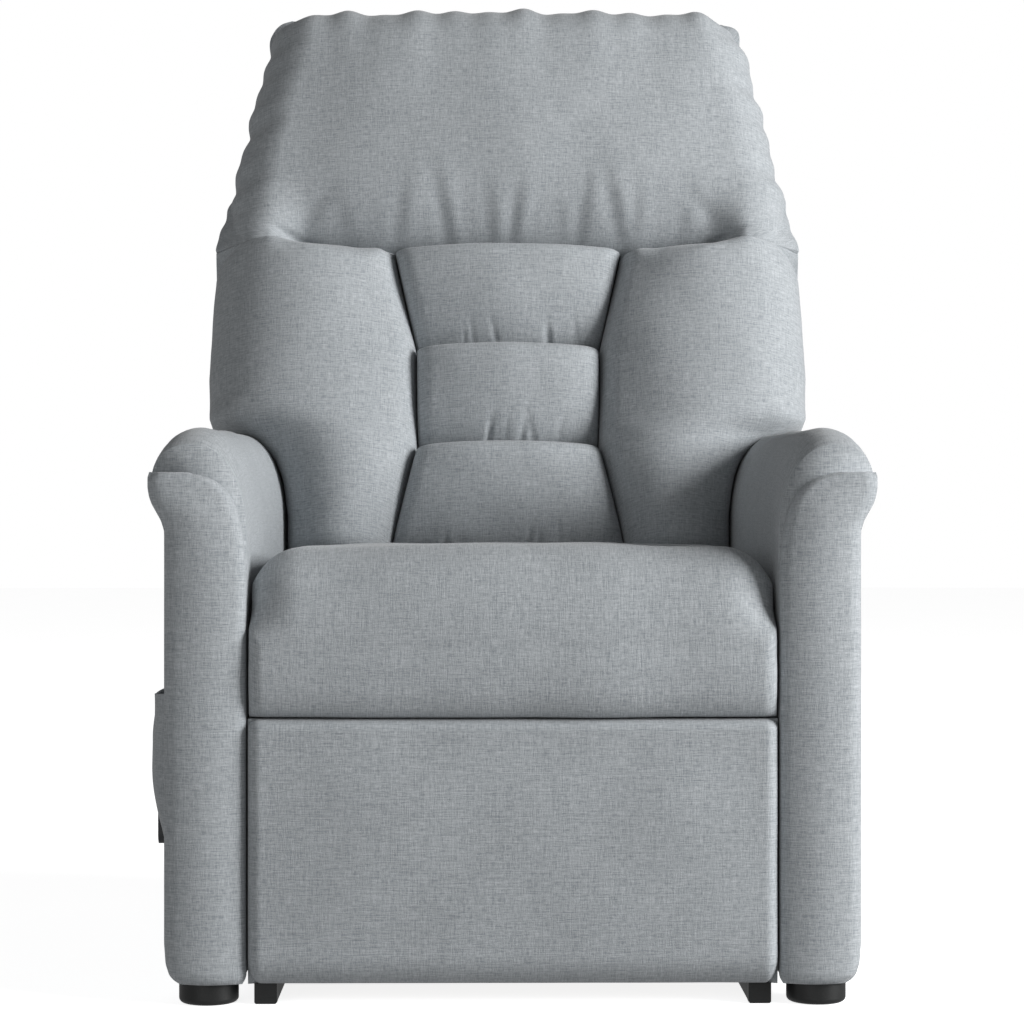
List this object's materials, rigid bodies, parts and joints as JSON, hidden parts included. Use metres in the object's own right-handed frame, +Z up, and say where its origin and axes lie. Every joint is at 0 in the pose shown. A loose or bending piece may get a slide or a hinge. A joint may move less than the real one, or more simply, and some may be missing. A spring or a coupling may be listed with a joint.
{
  "type": "powered lift recliner chair",
  "caption": "Powered lift recliner chair in grey woven fabric: padded arms, tall cushioned back, swing-out leg rest, floor base with tilting lift links and a pocketed hand control.",
  "frame": {"origin": "on the floor, on the chair's centre plane, 450 mm behind the arms' front faces, under the base frame's middle cross tube", "axes": "+Z up; the chair faces -Y; +X towards the right of someone looking at its front"},
  "size_m": [0.7201, 0.8276, 1.0806],
  "materials": {
    "upholstery": "woven linen-look upholstery",
    "webbing": "elastic seat webbing",
    "frame_wood": "plain plywood",
    "dark_steel": "satin dark grey powder coat",
    "rod_steel": "ground steel",
    "motor_plastic": "matt black",
    "black_plastic": "satin black",
    "handset_plastic": "fine texture",
    "button_plastic": "satin grey"
  },
  "bodies": {
    "base": {"base_rails": "dark_steel", "base_end_caps": "black_plastic", "base_cross_tubes": "dark_steel", "base_pivot_brackets": "dark_steel", "lift_motor_bracket": "dark_steel", "lift_motor": "motor_plastic", "lift_actuator_tube": "rod_steel"},
    "lift_rear": {"lift_rear_links": "dark_steel", "lift_rear_tube": "dark_steel"},
    "lift_front": {"lift_front_links": "dark_steel", "lift_front_tube": "dark_steel", "lift_lever": "dark_steel"},
    "lift_rod": {"lift_rod": "rod_steel"},
    "chair": {"mechanism_plates": "dark_steel", "lift_inner_brackets": "dark_steel", "seat_rails_across": "frame_wood", "seat_rails_side": "frame_wood", "seat_webbing": "webbing", "motor_cross_bars": "dark_steel", "power_box": "motor_plastic", "seat_cushion": "upholstery", "arm_body_left": "upholstery", "arm_body_right": "upholstery", "arm_front_left": "upholstery", "arm_front_right": "upholstery", "arm_frame_left": "frame_wood", "arm_frame_right": "frame_wood", "feet": "black_plastic", "rear_panel": "upholstery", "side_pocket": "upholstery", "leg_motor": "motor_plastic", "leg_actuator_tube": "rod_steel", "back_motor": "motor_plastic", "back_actuator_tube": "rod_steel"},
    "leg_a": {"leg_links_a": "dark_steel", "leg_drive_tube": "dark_steel", "leg_lever": "dark_steel"},
    "leg_c": {"leg_links_c": "dark_steel"},
    "leg_d": {"leg_links_d": "dark_steel"},
    "leg_rest": {"leg_rest_brackets": "dark_steel", "leg_rest_board": "frame_wood", "leg_rest_pad": "upholstery"},
    "leg_rod": {"leg_rod": "rod_steel"},
    "backrest": {"back_side_left": "upholstery", "back_side_right": "upholstery", "back_centre_top": "upholstery", "back_centre_middle": "upholstery", "back_centre_bottom": "upholstery", "headrest": "upholstery", "back_uprights": "frame_wood", "back_cross_bars": "frame_wood", "back_hinge_plates": "dark_steel", "back_cover": "upholstery", "back_lever": "dark_steel"},
    "back_rod": {"back_rod": "rod_steel"},
    "handset": {"handset_shell": "handset_plastic"},
    "button_rise": {"button_rise": "button_plastic"},
    "button_lower": {"button_lower": "button_plastic"},
    "button_recline": {"button_recline": "button_plastic"},
    "button_sit_up": {"button_sit_up": "button_plastic"}
  },
  "joints": [
    {"name": "lift", "type": "hinge", "parent": "base", "child": "lift_rear", "pos_m": [0, -0.25, 0.1], "axis": [1, 0, 0], "range_deg": [0, 42.71]},
    {"name": "chair_tilt", "type": "hinge", "parent": "lift_rear", "child": "chair", "pos_m": [0, 0.129, 0.235], "axis": [1, 0, 0], "range_deg": [-20.05, 0]},
    {"name": "lift_front_pivot", "type": "hinge", "parent": "base", "child": "lift_front", "pos_m": [0, -0.297, 0.06], "axis": [1, 0, 0], "range_deg": [0, 51.62]},
    {"name": "lift_drive", "type": "slide", "parent": "base", "child": "lift_rod", "axis": [0, -1, 0], "range_m": [0, 0.083]},
    {"name": "leg_rest_extend", "type": "hinge", "parent": "chair", "child": "leg_a", "pos_m": [0, -0.275, 0.181], "axis": [-1, 0, 0], "range_deg": [0, 116.5]},
    {"name": "leg_link_c_pivot", "type": "hinge", "parent": "leg_a", "child": "leg_c", "pos_m": [0, -0.29, 0.035], "axis": [1, 0, 0], "range_deg": [0, 181.6]},
    {"name": "leg_link_d_pivot", "type": "hinge", "parent": "leg_a", "child": "leg_d", "pos_m": [0, -0.2659, 0.0431], "axis": [1, 0, 0], "range_deg": [0, 186.4]},
    {"name": "leg_rest_pivot", "type": "hinge", "parent": "leg_c", "child": "leg_rest", "pos_m": [0, -0.368, 0.2], "axis": [-1, 0, 0], "range_deg": [0, 151.9]},
    {"name": "leg_drive", "type": "slide", "parent": "chair", "child": "leg_rod", "axis": [0, -1, 0], "range_m": [0, 0.0614]},
    {"name": "back_recline", "type": "hinge", "parent": "chair", "child": "backrest", "pos_m": [0, 0.15, 0.33], "axis": [-1, 0, 0], "range_deg": [0, 30]},
    {"name": "back_drive", "type": "slide", "parent": "chair", "child": "back_rod", "axis": [0, -1, 0], "range_m": [0, 0.0338]},
    {"name": "handset_lift_out", "type": "slide", "parent": "chair", "child": "handset", "axis": [0, 0, 1], "range_m": [0, 0.165]},
    {"name": "press_rise", "type": "slide", "parent": "handset", "child": "button_rise", "axis": [1, 0, 0], "range_m": [0, 0.0012], "stiffness_N_per_m": 400},
    {"name": "press_lower", "type": "slide", "parent": "handset", "child": "button_lower", "axis": [1, 0, 0], "range_m": [0, 0.0012], "stiffness_N_per_m": 400},
    {"name": "press_recline", "type": "slide", "parent": "handset", "child": "button_recline", "axis": [1, 0, 0], "range_m": [0, 0.0012], "stiffness_N_per_m": 400},
    {"name": "press_sit_up", "type": "slide", "parent": "handset", "child": "button_sit_up", "axis": [1, 0, 0], "range_m": [0, 0.0012], "stiffness_N_per_m": 400}
  ],
  "couplings": [
    {"joint": "chair_tilt", "follows": "lift", "ratio": -0.46898},
    {"joint": "lift_front_pivot", "follows": "lift", "ratio": 1.2081},
    {"joint": "lift_drive", "follows": "lift", "m_per_rad": 0.11093},
    {"joint": "leg_link_c_pivot", "follows": "leg_rest_extend", "ratio": 1.5579},
    {"joint": "leg_link_d_pivot", "follows": "leg_rest_extend", "ratio": 1.5992},
    {"joint": "leg_rest_pivot", "follows": "leg_rest_extend", "ratio": 1.303},
    {"joint": "leg_drive", "follows": "leg_rest_extend", "m_per_rad": 0.030111},
    {"joint": "back_drive", "follows": "back_recline", "m_per_rad": 0.06426}
  ]
}
